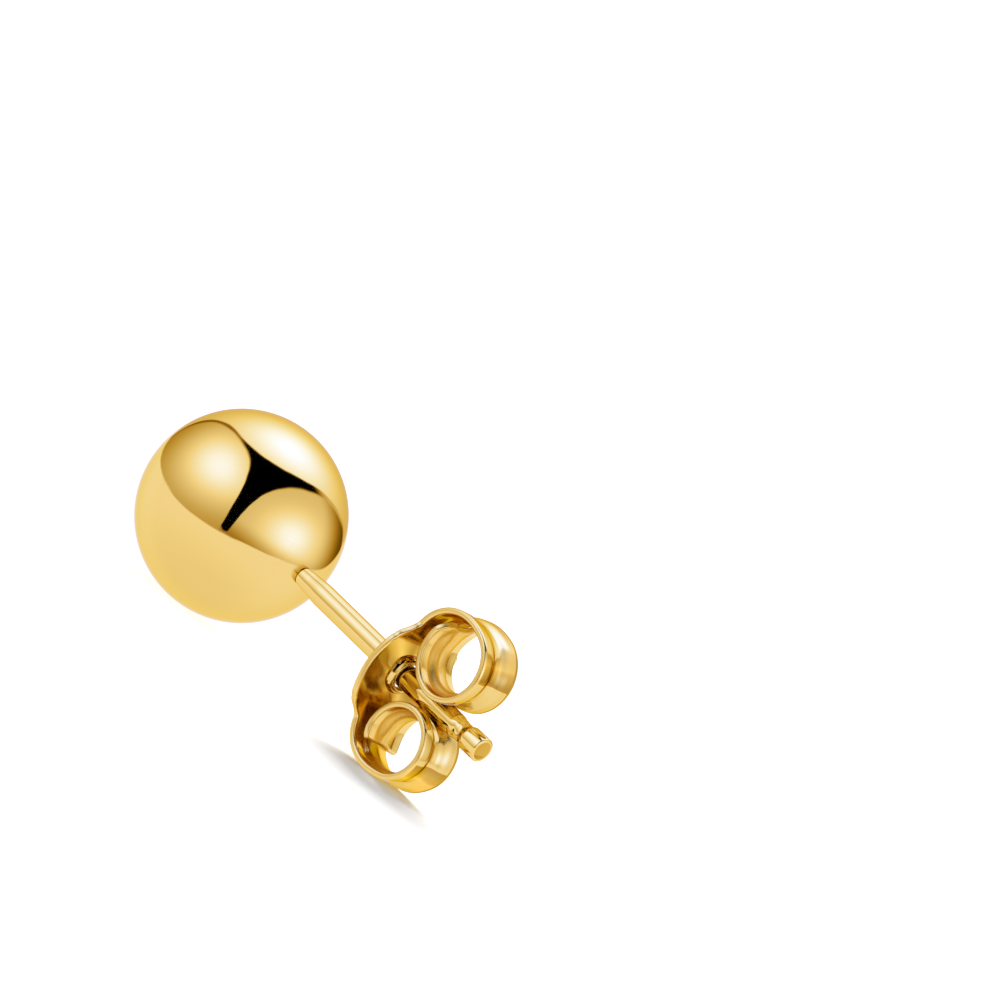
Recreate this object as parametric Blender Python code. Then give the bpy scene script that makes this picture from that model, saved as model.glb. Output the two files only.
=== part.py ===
"""A gold ball stud earring with its butterfly back pushed onto the post, lying unworn.

Units are metres, +Z up. Two pieces are built, each on its own axes: x along the post from the ball to
its end, z across the two scrolls of the back, y along the width of the strip. The stud is one turned
solid, a ball with its post soldered on. The back is one bent strip of sheet: a domed plate with a raised
collar round the hole, whose two arms roll up into scrolls that grip the post between them. The pair then
lies as it would by itself, on the ball and on both edges of one scroll.
"""

import math

import bpy
import numpy as np
from mathutils import Matrix, Vector

BALL_DIAMETER = 0.0070
POST_DIAMETER = 0.00082
POST_LENGTH = 0.0099
ROOT_DIAMETER = 0.00065
ROOT_END_DIAMETER = 0.00072
ROOT_LENGTH = 0.00055
ROOT_TAPER = 0.0004
NECK_DIAMETER = 0.00068
NECK_LENGTH = 0.00086
CAP_DIAMETER = 0.00087
CAP_LENGTH = 0.00066
CAP_ROUNDING = 0.00005

SHEET = 0.00022
PLATE_FROM_BALL = 0.00545
PLATE_WIDTH = 0.0038
PLATE_SHOULDER_WIDTH = 0.0033
PLATE_SHOULDER_AT = 0.0012
PLATE_NARROWING = 0.0007
PLATE_RISE = 0.00016
PLATE_DISH = 0.00007
ARM_WIDTH = 0.0019
HOLE_CLEARANCE = 0.00005
COLLAR_HEIGHT = 0.00028
COLLAR_WIDTH = 0.0002
RIB_HEIGHT = 0.00006
RIB_WIDTH = 0.0006

SCROLL_RADIUS = 0.00128
SCROLL_STANDOFF = 0.0005
SCROLL_EDGE_FROM_AXIS = 0.00022
CHANNEL_DEPTH = 0.00016
GRIP_CLEARANCE = 0.00004
TIP_FLARE = 0.00003

# Where the arm changes as it rolls up, in degrees of turn from -90 at the plate: from, and over how many.
PLATE_ENDS = (-90.0, 40.0)
CHANNEL_STARTS = (-85.0, 60.0)
CHANNEL_BECOMES_GRIP = (90.0, 60.0)
ROLLS_IN = (130.0, 140.0)
TIP_CURLS = (250.0, 60.0)
TIP_TURN = 20.0
TIP_NEAR_ROUNDING = 17.0
TIP_FAR_ROUNDING = 55.0

# Each scroll, with its lengths in shares of SCROLL_RADIUS. Columns: its sign along z, its size, its near
# and far edges, the turns in which each closes to that size, the edges' radii where it has rolled
# inwards, how much more the far corner of its tip curls in, the shares of its near and far halves that
# are left at the rounded tip, and the turn where it ends.
SCROLL_COLUMNS = (
    "sign",
    "size",
    "near",
    "far",
    "close_near",
    "close_far",
    "inner_near",
    "inner_far",
    "curl",
    "tip_near",
    "tip_far",
    "end",
)
SCROLLS = {
    "upper": (1, 1.035, 1.011, 0.989, 110, 100, 0.906, 0.981, 0.13, 0.4, 0.3, 320),
    "lower": (-1, 0.957, 0.988, 1.012, 98, 150, 0.922, 0.947, 0.0, 0.85, 0.8, 309),
}

# The channel pressed into the arms, read across the strip from its near edge. Columns: share of the
# width, and share of the channel's depth there.
CHANNEL = (
    (0.0, 0.0),
    (0.14, 0.02),
    (0.24, 0.2),
    (0.33, 0.7),
    (0.42, 0.97),
    (0.5, 1.0),
    (0.58, 0.97),
    (0.67, 0.74),
    (0.78, 0.38),
    (0.9, 0.12),
    (1.0, 0.0),
)

# How finely the faces are cut.
BALL_SIDES = 36
BALL_RINGS = 22
NECK_STEPS = 4
SCROLL_STEP = 11.0
HOLE_STEPS = 4
COLLAR_STEPS = 4
RIM_STEPS = 2
PLATE_STEPS = 3
SHARP_ANGLE = 38.0

# The square of the plate round the hole whose faces run round it, as shares of the plate's half width
# and of the distance to the shoulders, and the share of that square which the hole takes up.
HOLE_BLOCK_ACROSS = 0.65
HOLE_BLOCK_ALONG = 0.8
HOLE_BLOCK_SHARE = 0.35

GOLD = (0.89, 0.65, 0.21, 1.0)
GOLD_ROUGHNESS = 0.08


def ease(share):
    """0 below 0, 1 above 1, and between them 3t^2 - 2t^3, which leaves and arrives level."""
    share = np.clip(share, 0.0, 1.0)
    return share * share * (3.0 - 2.0 * share)


def eased(turn, change):
    """How far a change given as its first turn and its length in turns has come, from 0 to 1."""
    return ease((turn - change[0]) / change[1])


def smooth_table(x, table):
    """A curve through the table's two columns, with each point's slope taken from its neighbours."""
    at, value = np.array(table, float).T
    slope = np.gradient(value, at)
    i = np.clip(np.searchsorted(at, x) - 1, 0, len(at) - 2)
    span = at[i + 1] - at[i]
    t = (x - at[i]) / span
    return (
        (1 + 2 * t) * (1 - t) ** 2 * value[i]
        + t * (1 - t) ** 2 * span * slope[i]
        + t * t * (3 - 2 * t) * value[i + 1]
        + t * t * (t - 1) * span * slope[i + 1]
    )


def scroll_sizes(name):
    """One scroll's sizes in metres and degrees, with its centre's distance from the post and the plate."""
    size = dict(zip(SCROLL_COLUMNS, SCROLLS[name]))
    radius = SCROLL_RADIUS * size["size"]
    for edge in ("near", "far", "inner_near", "inner_far", "curl"):
        size[edge] *= radius
    size["radius"] = radius
    size["across"] = radius + SHEET / 2 + SCROLL_EDGE_FROM_AXIS
    size["reach"] = SCROLL_RADIUS + SCROLL_STANDOFF
    return size


def hole_radius():
    return CAP_DIAMETER / 2 + HOLE_CLEARANCE


def half_width(along, turn):
    """Half the strip's width at a distance along it: a rounded plate, its shoulders, then the narrower arms."""
    distance = np.abs(along) + np.radians(turn + 90) * (SCROLL_RADIUS + SCROLL_STANDOFF)
    share = np.clip(distance / PLATE_SHOULDER_AT, 0.0, 1.0)
    plate = PLATE_SHOULDER_WIDTH + (PLATE_WIDTH - PLATE_SHOULDER_WIDTH) * np.sqrt(1 - share**2)
    narrowed = ease((distance - PLATE_SHOULDER_AT) / PLATE_NARROWING)
    return (plate + (ARM_WIDTH - plate) * narrowed) / 2


def tip_width(name, turn, across):
    """The share of its width that the strip keeps at a turn: each half narrows in its own round corner."""
    size = scroll_sizes(name)
    kept = np.ones(np.shape(turn))
    for left, rounding, half in (
        (size["tip_near"], TIP_NEAR_ROUNDING, -across),
        (size["tip_far"], TIP_FAR_ROUNDING, across),
    ):
        into_tip = np.clip(1 - (size["end"] - turn) / rounding, 0.0, 1.0)
        kept = kept - (1 - left) * (1 - np.sqrt(1 - into_tip**2)) * np.clip(half, 0.0, 1.0)
    return kept


def plate_lift(along, width_at):
    """How far the plate stands towards the post's end: its dish, the collar round the hole and two ribs."""
    dish = PLATE_DISH * (2 * width_at / PLATE_WIDTH) ** 2
    from_hole = np.hypot(along, width_at) - hole_radius()
    collar = COLLAR_HEIGHT * (1 - ease(from_hole / COLLAR_WIDTH))
    outwards = ease(from_hole / COLLAR_WIDTH) * (1 - ease(2 * np.abs(width_at) / PLATE_WIDTH))
    rib = RIB_HEIGHT * np.exp(-((2 * along / RIB_WIDTH) ** 2)) * outwards
    return dish + collar + rib


def strip_surface(name, along, turn, width_at, layer):
    """Points of the strip as (x, y, z) from the plate's centre.

    The plate runs out to the scroll's centre at `along`; past it the strip turns about that centre by
    `turn` degrees from -90. The radius starts at the centre's reach from the plate, eases down to the
    scroll's own radius, and later to its inner one. `width_at` is the distance across the strip, towards
    the far edge, and `layer` is 1 on the outer face and -1 on the inner.
    """
    size = scroll_sizes(name)
    share = np.clip(0.5 + width_at / ARM_WIDTH, 0.0, 1.0)
    radius = size["near"] + (size["far"] - size["near"]) * share
    inner = size["inner_near"] + (size["inner_far"] - size["inner_near"]) * share
    closing = size["close_near"] + (size["close_far"] - size["close_near"]) * share
    closed = ease((turn + 90) / closing)
    rolled_in = eased(turn, ROLLS_IN)
    centre_line = size["reach"] + (radius - size["reach"]) * closed + (inner - radius) * rolled_in
    grip_depth = CAP_DIAMETER / 2 + GRIP_CLEARANCE - (size["across"] - radius - SHEET / 2)
    gripping = eased(turn, CHANNEL_BECOMES_GRIP)
    depth = CHANNEL_DEPTH * eased(turn, CHANNEL_STARTS) * (1 - gripping) + grip_depth * gripping
    channel = depth * smooth_table(share, CHANNEL)
    flare = TIP_FLARE * ease((turn - size["end"] + TIP_TURN) / TIP_TURN) ** 2
    curl = size["curl"] * share * eased(turn, TIP_CURLS)
    lift = plate_lift(along, width_at) * (1 - eased(turn, PLATE_ENDS))
    distance = centre_line - channel - lift - curl + flare + layer * SHEET / 2
    angle = np.radians(turn)
    rise = PLATE_RISE * ease(np.abs(along) / size["across"])
    x = rise + size["reach"] + distance * np.sin(angle)
    z = along + size["sign"] * distance * np.cos(angle)
    return np.stack([x, width_at, z], axis=-1)


def strip_rows():
    """The strip's rows from the lower scroll's end to the upper one's: side, distance along and turn."""
    block = HOLE_BLOCK_ALONG * PLATE_SHOULDER_AT
    inner = HOLE_BLOCK_SHARE * block
    middle = np.concatenate(
        [
            np.linspace(-block, -inner, COLLAR_STEPS + 1)[:-1],
            np.linspace(-inner, inner, HOLE_STEPS + 1),
            np.linspace(inner, block, COLLAR_STEPS + 1)[1:],
        ]
    )
    rows = {}
    for name in SCROLLS:
        size = scroll_sizes(name)
        outer = np.concatenate(
            [
                np.linspace(block, PLATE_SHOULDER_AT, RIM_STEPS + 1)[1:],
                np.linspace(PLATE_SHOULDER_AT, size["across"], PLATE_STEPS + 1)[1:],
            ]
        )
        steps = round((size["end"] + 90) / SCROLL_STEP)
        turns = np.linspace(-90, size["end"], steps + 1)[1:]
        along = np.concatenate([outer, np.full(steps, size["across"])]) * size["sign"]
        rows[name] = (along, np.concatenate([np.full(len(outer), -90.0), turns]))
    along = np.concatenate([rows["lower"][0][::-1], middle, rows["upper"][0]])
    turn = np.concatenate([rows["lower"][1][::-1], np.full(len(middle), -90.0), rows["upper"][1]])
    return along, turn


def strip_columns():
    """The columns across the strip, from -1 to 1, with those of the square round the hole in the middle."""
    block = HOLE_BLOCK_ACROSS
    inner = HOLE_BLOCK_SHARE * block
    half = np.concatenate([np.linspace(inner, block, COLLAR_STEPS + 1), np.linspace(block, 1.0, RIM_STEPS + 1)[1:]])
    return np.concatenate([-half[::-1], np.linspace(-inner, inner, HOLE_STEPS + 1)[1:-1], half])


def around_hole(along, across, width_at):
    """Moves the points of the square round the hole, so that its inmost square becomes the hole's circle.

    q is the point's distance from the centre in squares, 1 on the outer square. A side of a square turns
    into a quarter of a circle, and the circle turns back into the square from the hole outwards.
    """
    u = along / (HOLE_BLOCK_ALONG * PLATE_SHOULDER_AT)
    v = across / HOLE_BLOCK_ACROSS
    q = np.maximum(np.abs(u), np.abs(v))
    q_safe = np.maximum(q, 1e-9)
    sideways = np.where(np.abs(u) >= np.abs(v), v, u) / q_safe * math.pi / 4
    major = np.cos(sideways)
    minor = np.sin(sideways)
    circle_u = np.where(np.abs(u) >= np.abs(v), np.sign(u) * major, minor)
    circle_v = np.where(np.abs(u) >= np.abs(v), minor, np.sign(v) * major)
    outwards = np.clip((q - HOLE_BLOCK_SHARE) / (1 - HOLE_BLOCK_SHARE), 0.0, 1.0)
    square_along = along / q_safe
    square_width = width_at / q_safe
    inside = q < 1
    new_along = (1 - outwards) * hole_radius() * circle_u + outwards * square_along
    new_width = (1 - outwards) * hole_radius() * circle_v + outwards * square_width
    return np.where(inside, new_along, along), np.where(inside, new_width, width_at)


def strip_layer(layer):
    """One face of the strip as a grid of points, rows by columns."""
    along, turn = strip_rows()
    columns = strip_columns()
    along, across = np.meshgrid(along, columns, indexing="ij")
    turn = np.broadcast_to(turn[:, None], along.shape)
    tip = np.where(along > 0, tip_width("upper", turn, across), tip_width("lower", turn, across))
    width_at = half_width(along, turn) * across * tip
    on_plate = turn <= -90
    warped, warped_width = around_hole(along, across, width_at)
    along = np.where(on_plate, warped, along)
    width_at = np.where(on_plate, warped_width, width_at)
    upper = strip_surface("upper", along, turn, width_at, layer)
    lower = strip_surface("lower", along, turn, width_at, layer)
    return np.where((along >= 0)[..., None], upper, lower)


def kept_cells():
    """The grid's cells, True but for those that the hole takes away."""
    along = strip_rows()[0]
    across = strip_columns()
    half_hole_along = HOLE_BLOCK_SHARE * HOLE_BLOCK_ALONG * PLATE_SHOULDER_AT
    half_hole_across = HOLE_BLOCK_SHARE * HOLE_BLOCK_ACROSS
    in_rows = np.abs(along[1:] + along[:-1]) / 2 < half_hole_along
    in_columns = np.abs(across[1:] + across[:-1]) / 2 < half_hole_across
    return ~(in_rows[:, None] & in_columns[None, :])


def sheet_mesh(outer, inner, kept):
    """Points and faces of a sheet between two grids: both faces, and a wall along every free edge."""
    rows, columns = outer.shape[:2]
    number = np.arange(rows * columns).reshape(rows, columns)
    corners = np.stack([number[:-1, :-1], number[1:, :-1], number[1:, 1:], number[:-1, 1:]], axis=-1)[kept]
    sides = np.concatenate([np.stack([corners[:, k], corners[:, (k + 1) % 4]], axis=-1) for k in range(4)])
    there = set(map(tuple, sides.tolist()))
    free = [side for side in sides.tolist() if (side[1], side[0]) not in there]
    count = rows * columns
    faces = corners.tolist()
    faces += (corners[:, ::-1] + count).tolist()
    faces += [[b, a, a + count, b + count] for a, b in free]
    points = np.concatenate([outer.reshape(-1, 3), inner.reshape(-1, 3)])
    used = np.unique(np.concatenate([np.ravel(face) for face in faces]))
    renumber = np.full(len(points), -1)
    renumber[used] = np.arange(len(used))
    return points[used], [[int(renumber[i]) for i in face] for face in faces]


def resting_face(down):
    """Where the flat face that the ball lies on is centred, for a unit vector pointing down at the floor.

    Returns its angle from the post's direction, its angle round the post from y towards z, half the angle
    that it spans along the ball, and how far its plane is from the ball's centre. Cutting the round into
    sides tips such a face slightly, so its middle angle is corrected for that.
    """
    half_side = math.pi / BALL_SIDES
    half_ring = math.pi / BALL_RINGS / 2
    from_post = math.atan2(math.hypot(down[1], down[2]) * math.cos(half_side), down[0])
    round_post = math.atan2(down[2], down[1])
    tipped = math.hypot(math.cos(from_post) * math.cos(half_side), math.sin(from_post))
    away = BALL_DIAMETER / 2 * math.cos(half_side) * math.cos(half_ring) / tipped
    return from_post, round_post, half_ring, away


def stud_profile(down):
    """The stud's outline from the ball's far pole to the post's end: x from the ball's centre, and radius."""
    ball = BALL_DIAMETER / 2
    root = ROOT_DIAMETER / 2
    post = POST_DIAMETER / 2
    neck = NECK_DIAMETER / 2
    cap = CAP_DIAMETER / 2
    end = ball + POST_LENGTH
    neck_start = end - CAP_LENGTH - NECK_LENGTH
    neck_middle = end - CAP_LENGTH - NECK_LENGTH / 2
    from_post, _, half_ring, _ = resting_face(down)
    behind, before = from_post + half_ring, from_post - half_ring
    root_angle = math.asin(root / ball)
    rings_behind = round((math.pi - behind) / (2 * half_ring))
    rings_before = round((before - root_angle) / (2 * half_ring))
    angles = np.concatenate(
        [
            np.linspace(math.pi, behind, rings_behind + 1)[1:],
            np.linspace(before, root_angle, rings_before + 1),
        ]
    )
    outline = [(ball * math.cos(angle), ball * math.sin(angle)) for angle in angles]
    outline.append((ball + ROOT_LENGTH, ROOT_END_DIAMETER / 2))
    outline.append((ball + ROOT_LENGTH + ROOT_TAPER, post))
    for share in np.linspace(0, 1, NECK_STEPS + 1):
        outline.append((neck_start + share * NECK_LENGTH / 2, post + (neck - post) * float(ease(share))))
    for share in np.linspace(0, 1, NECK_STEPS + 1)[1:]:
        outline.append((neck_middle + share * NECK_LENGTH / 2, neck + (cap - neck) * float(ease(share))))
    outline.append((end - CAP_ROUNDING, cap))
    outline.append((end, cap - CAP_ROUNDING))
    return outline


def turned_mesh(outline, first, sides, face_at):
    """An outline turned about x: a point at `first`, a ring for each row with a side's middle at the angle
    `face_at`, and a flat end.
    """
    x, radius = np.array(outline).T
    angle = face_at + 2 * math.pi * (np.arange(sides) + 0.5) / sides
    rings = np.stack(
        [
            np.repeat(x[:, None], sides, axis=1),
            radius[:, None] * np.cos(angle),
            radius[:, None] * np.sin(angle),
        ],
        axis=-1,
    )
    points = np.concatenate([[(first, 0.0, 0.0)], rings.reshape(-1, 3)])
    number = 1 + np.arange(len(outline) * sides).reshape(len(outline), sides)
    after = np.roll(number, -1, axis=1)
    faces = [[0, int(b), int(a)] for a, b in zip(number[0], after[0])]
    faces += np.stack([number[:-1], after[:-1], after[1:], number[1:]], axis=-1).reshape(-1, 4).tolist()
    faces.append(number[-1].tolist())
    return points, faces


def resting_axes(edge_points):
    """The world directions of the stud's own x, y and z when it lies on the ball and two edge points.

    `edge_points` holds the near and the far edge of the scroll that it lies on, from the ball's centre.
    The floor touches the ball and passes through the lowest point of each edge, which is found anew for
    each guess at which way is up, until the guess stays.
    """
    up = np.array([0.0, 0.0, 1.0])
    for _ in range(20):
        away = resting_face(-up)[3]
        lowest = np.array([points[np.argmin(points @ up)] for points in edge_points])
        shortest = np.linalg.pinv(lowest) @ np.array([-away, -away])
        sideways = np.cross(lowest[0], lowest[1])
        sideways *= math.sqrt(max(0.0, 1 - shortest @ shortest)) / np.linalg.norm(sideways)
        if (shortest + sideways) @ up < (shortest - sideways) @ up:
            sideways = -sideways
        up = shortest + sideways
    forward = np.array([1.0, 0.0, 0.0]) - up[0] * up
    forward /= np.linalg.norm(forward)
    # The rows are the world's X, Y and Z in the stud's axes, which is the turn from those axes to the world.
    return np.array([forward, np.cross(up, forward), up])


def plate_place():
    """The plate's centre from the ball's centre."""
    return np.array([BALL_DIAMETER / 2 + PLATE_FROM_BALL, 0.0, 0.0])


def scroll_edges():
    """The outer face's near and far edge of the lower scroll's rolled part, from the ball's centre."""
    along, turn = strip_rows()
    rolled = (along < 0) & (turn > -90)
    along, turn = along[rolled], turn[rolled]
    edges = []
    for across in (-1.0, 1.0):
        width_at = half_width(along, turn) * across * tip_width("lower", turn, across)
        edges.append(plate_place() + strip_surface("lower", along, turn, width_at, 1))
    return edges


def gold_material(name):
    material = bpy.data.materials.new(name)
    material.use_nodes = True
    shader = material.node_tree.nodes["Principled BSDF"]
    shader.inputs["Base Color"].default_value = GOLD
    shader.inputs["Metallic"].default_value = 1.0
    shader.inputs["Roughness"].default_value = GOLD_ROUGHNESS
    material.diffuse_color = GOLD
    return material


def add_piece(name, points, faces, material, parent, place):
    mesh = bpy.data.meshes.new(name)
    mesh.from_pydata([tuple(point) for point in points.tolist()], [], faces)
    mesh.materials.append(material)
    mesh.shade_smooth()
    mesh.set_sharp_from_angle(angle=math.radians(SHARP_ANGLE))
    piece = bpy.data.objects.new(name, mesh)
    piece.parent = parent
    piece.location = place
    bpy.context.scene.collection.objects.link(piece)
    return piece


def main():
    for thing in list(bpy.data.objects):
        bpy.data.objects.remove(thing, do_unlink=True)

    # The ball's sides are turned so that the middle of one of them lies flat on the floor.
    to_world = resting_axes(scroll_edges())
    down = -to_world[2]
    outline = stud_profile(down)
    stud_points, stud_faces = turned_mesh(outline, -BALL_DIAMETER / 2, BALL_SIDES, resting_face(down)[1])
    back_points, back_faces = sheet_mesh(strip_layer(1), strip_layer(-1), kept_cells())

    # The box is measured at rest, so that its bottom's centre lies at the world's origin.
    lying = np.concatenate([stud_points, back_points + plate_place()]) @ to_world.T
    low, high = lying.min(axis=0), lying.max(axis=0)
    ball_centre = -np.array([(low[0] + high[0]) / 2, (low[1] + high[1]) / 2, low[2]])

    post_axis = bpy.data.objects.new("post_axis", None)
    bpy.context.scene.collection.objects.link(post_axis)
    post_axis.empty_display_size = BALL_DIAMETER
    turn = Matrix([list(row) for row in to_world.tolist()]).to_4x4()
    post_axis.matrix_world = Matrix.Translation(Vector(ball_centre.tolist())) @ turn

    stud_gold = gold_material("polished_gold_stud")
    add_piece("ball_stud", stud_points, stud_faces, stud_gold, post_axis, (0, 0, 0))
    back_gold = gold_material("polished_gold_back")
    add_piece("butterfly_back", back_points, back_faces, back_gold, post_axis, plate_place().tolist())


main()
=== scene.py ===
"""A gold ball stud earring with its butterfly back on the post, lying on a white surface in a light tent.

Units are metres. The stud is a profile turned about its axis and the back is one strip of sheet, both
worked out on the stud's own axes: x along the post from the ball to its end, z across the two scrolls,
y along the width of the strip. They are then laid down as the solids lie.
"""

import math
import bpy
import numpy as np
from mathutils import Matrix, Vector


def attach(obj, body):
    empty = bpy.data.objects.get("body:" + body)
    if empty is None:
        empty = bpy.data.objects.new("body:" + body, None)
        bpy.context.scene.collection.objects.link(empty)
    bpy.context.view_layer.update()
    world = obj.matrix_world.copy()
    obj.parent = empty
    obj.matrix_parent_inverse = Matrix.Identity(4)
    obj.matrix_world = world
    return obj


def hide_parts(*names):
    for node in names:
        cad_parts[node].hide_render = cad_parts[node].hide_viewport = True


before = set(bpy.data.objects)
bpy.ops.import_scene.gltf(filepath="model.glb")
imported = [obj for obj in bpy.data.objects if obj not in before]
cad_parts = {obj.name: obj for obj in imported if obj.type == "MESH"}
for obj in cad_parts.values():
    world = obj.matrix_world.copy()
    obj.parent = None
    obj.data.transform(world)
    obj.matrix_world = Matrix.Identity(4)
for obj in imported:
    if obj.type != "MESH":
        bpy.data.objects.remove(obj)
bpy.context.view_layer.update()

BALL_DIAMETER = 0.0070
POST_DIAMETER = 0.00082
POST_LENGTH = 0.0099
ROOT_DIAMETER = 0.00065
ROOT_END_DIAMETER = 0.00072
ROOT_LENGTH = 0.00035
ROOT_TAPER = 0.0008
ROOT_SEAM = 0.00003
ROOT_INSIDE_BALL = 0.0003
NECK_DIAMETER = 0.00071
NECK_LENGTH = 0.00086
NECK_NARROWS_OVER = 0.68
CRIMP_DEPTH = 0.085
CRIMP_WIDTH = 0.00009
CRIMPS = (0.0, 0.27, 0.55)
CRIMP_SIDES = 3
CRIMP_TURN = 2.1
CRIMP_SWAY = 0.7
CAP_DIAMETER = 0.00087
CAP_LENGTH = 0.00066
CAP_ROUNDING = 0.00007
END_DISH = 0.00003

SHEET = 0.00022
SHEET_ROUNDING = 0.00009
PLATE_FROM_BALL = 0.00545
PLATE_WIDTH = 0.0038
PLATE_SHOULDER_WIDTH = 0.0033
PLATE_SHOULDER_AT = 0.0012
PLATE_NARROWING = 0.0007
PLATE_RISE = 0.00016
PLATE_DISH = 0.00007
ARM_WIDTH = 0.0019
HOLE_CLEARANCE = 0.00005
COLLAR_HEIGHT = 0.00028
COLLAR_WIDTH = 0.0002
RIB_HEIGHT = 0.00006
RIB_WIDTH = 0.0006
SCROLL_RADIUS = 0.00128
SCROLL_STANDOFF = 0.0005
SCROLL_EDGE_FROM_AXIS = 0.00022
CHANNEL_DEPTH = 0.00016
GRIP_CLEARANCE = 0.00004
TIP_FLARE = 0.00003

# Where the arm changes as it rolls up, in degrees of turn from -90 at the plate: from, and over how many.
PLATE_ENDS = (-90.0, 40.0)
CHANNEL_STARTS = (-85.0, 60.0)
CHANNEL_BECOMES_GRIP = (90.0, 60.0)
ROLLS_IN = (130.0, 140.0)
TIP_CURLS = (250.0, 60.0)
TIP_TURN = 20.0
TIP_SKEW = 14.0
TIP_SKEWS_OVER = 60.0
TIP_FLATTENS_OVER = 45.0
TIP_FLATTENS_BY = 0.55
TIP_NEAR_ROUNDING = 26.0
TIP_FAR_ROUNDING = 45.0

# The back's finish and painted shade: how far the painted shade deepens the gold's colour, from 0 to 1,
# how much rougher than polished satin is, and the widths of the rim that the painted shade leaves light and
# of the thin painted dark line beside the far rim.
RIM_LIGHT = 0.00016
RIM_SATIN = 0.2
GROOVE_SATIN = 0.3
FLANGE_SATIN = 0.3
FRONT_SATIN = 0.5
# Painted shade that warms the reflections on the outer face's far flange over each scroll's front.
FRONT_PAINTED_SHADE = 0.2
# Painted shade and reflection on the outer face over each scroll's front, cut off where it faces down.
UNDER_PAINTED_SHADE = 0.62
# A thin painted dark line beside the far rim of the outer face, standing in for a reflected outline.
LIP_PAINTED_SHADE = 0.6
LIP_FROM_EDGE = 0.00013
LIP_WIDTH = 0.00006
# Painted shade on the plate's inner face, deeper in fans round the hole.
PLATE_PAINTED_SHADE = 0.27
FANS_PAINTED_SHADE = 0.33
SHADE_FANS = 7
SHADE_FANS_START = 0.87
# Painted shade in the scrolls' groove, lightened by a painted highlight streak along it.
GROOVE_PAINTED_SHADE = 0.29
HIGHLIGHT_STREAK_LIGHTENS = 0.24
HIGHLIGHT_STREAK_AT = -0.06
HIGHLIGHT_STREAK_WIDTH = 0.045

# Where the finish, the painted shade and the painted sheen change as the arm rolls up, in degrees of turn:
# from, and over how many.
SCROLL_FINISH_AND_SHADE = (-60.0, 60.0)
PLATE_SHADE_ENDS = (-60.0, 110.0)
FRONT_STARTS = (20.0, 20.0)
FRONT_ENDS = (64.0, 16.0)
UNDER_SHADE_STARTS = (40.0, 48.0)
SHEEN_STARTS = (60.0, 60.0)

# And where it changes across the arm, in shares of its width from its near edge or its middle.
GROOVE_STARTS = (0.1, 0.15)
GROOVE_ENDS = (0.6, 0.12)
SHEEN_FROM_MIDDLE = (0.12, 0.1)
FRONT_RISES = 6

# The post's end face: how far painted shade deepens its gold, and where it starts, in shares of the cap's
# radius.
FACE_PAINTED_SHADE = 0.48
FACE_EDGE = (0.78, 0.06)

# Each scroll, its lengths in shares of SCROLL_RADIUS.
SCROLL_COLUMNS = (
    "sign",
    "size",
    "near",
    "far",
    "close_near",
    "close_far",
    "inner_near",
    "inner_far",
    "curl",
    "tip_near",
    "tip_far",
    "end",
)
SCROLLS = {
    "upper": (1, 1.035, 1.011, 0.989, 110, 100, 0.906, 0.981, 0.045, 0.34, 0.5, 325),
    "lower": (-1, 0.957, 0.988, 1.012, 98, 150, 0.922, 0.947, 0.0, 0.85, 0.8, 315),
}

# The channel pressed into the arms. Columns: share of the width from the near edge, share of its depth.
CHANNEL = (
    (0.0, 0.0),
    (0.14, 0.02),
    (0.24, 0.14),
    (0.31, 0.5),
    (0.36, 0.86),
    (0.42, 1.0),
    (0.5, 1.0),
    (0.58, 0.9),
    (0.64, 0.62),
    (0.69, 0.3),
    (0.74, 0.1),
    (0.82, 0.02),
    (1.0, 0.0),
)

# Where the solids' box puts the stud's own axes: the world directions of x, y and z, and the ball's centre.
TO_WORLD = (
    (0.99894655, 0.00514429, 0.0456003),
    (0.0, 0.99369675, -0.1121016),
    (-0.04588955, 0.11198351, 0.99264991),
)
BALL_CENTRE = (-0.00495359, 0.0, 0.00348257)

# How finely the surfaces are cut, and how much the rows crowd towards the hole and the rims.
ROUND_SIDES = 288
BALL_STEPS = 220
POST_STEPS = 32
SEAM_STEPS = 16
CORNER_STEPS = 8
COLLAR_CROWDS = 1.6
RIM_CROWDS = 2.2
SCROLL_STEP = 2.0
HOLE_STEPS = 18
COLLAR_STEPS = 16
RIM_STEPS = 10
PLATE_STEPS = 14
END_STEPS = 6
HOLE_BLOCK_ACROSS = 0.65
HOLE_BLOCK_ALONG = 0.8
HOLE_BLOCK_SHARE = 0.35


def ease(share):
    """0 below 0, 1 above 1, and between them 3t^2 - 2t^3, which leaves and arrives level."""
    share = np.clip(share, 0.0, 1.0)
    return share * share * (3.0 - 2.0 * share)


def eased(place, change):
    """How far a change, given as where it starts and over how much it goes, has come, from 0 to 1."""
    return ease((place - change[0]) / change[1])


def smooth_table(x, table):
    """A curve through the table's two columns, with each point's slope taken from its neighbours."""
    at, value = np.array(table, float).T
    slope = np.gradient(value, at)
    i = np.clip(np.searchsorted(at, x) - 1, 0, len(at) - 2)
    span = at[i + 1] - at[i]
    t = (x - at[i]) / span
    return (
        (1 + 2 * t) * (1 - t) ** 2 * value[i]
        + t * (1 - t) ** 2 * span * slope[i]
        + t * t * (3 - 2 * t) * value[i + 1]
        + t * t * (t - 1) * span * slope[i + 1]
    )


def scroll_sizes(name):
    """One scroll's sizes in metres and degrees, and its centre's distances across from the post and out
    from the plate.
    """
    size = dict(zip(SCROLL_COLUMNS, SCROLLS[name]))
    radius = SCROLL_RADIUS * size["size"]
    for edge in ("near", "far", "inner_near", "inner_far", "curl"):
        size[edge] *= radius
    size["across"] = radius + SHEET / 2 + SCROLL_EDGE_FROM_AXIS
    size["reach"] = SCROLL_RADIUS + SCROLL_STANDOFF
    return size


def hole_radius():
    return CAP_DIAMETER / 2 + HOLE_CLEARANCE


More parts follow.
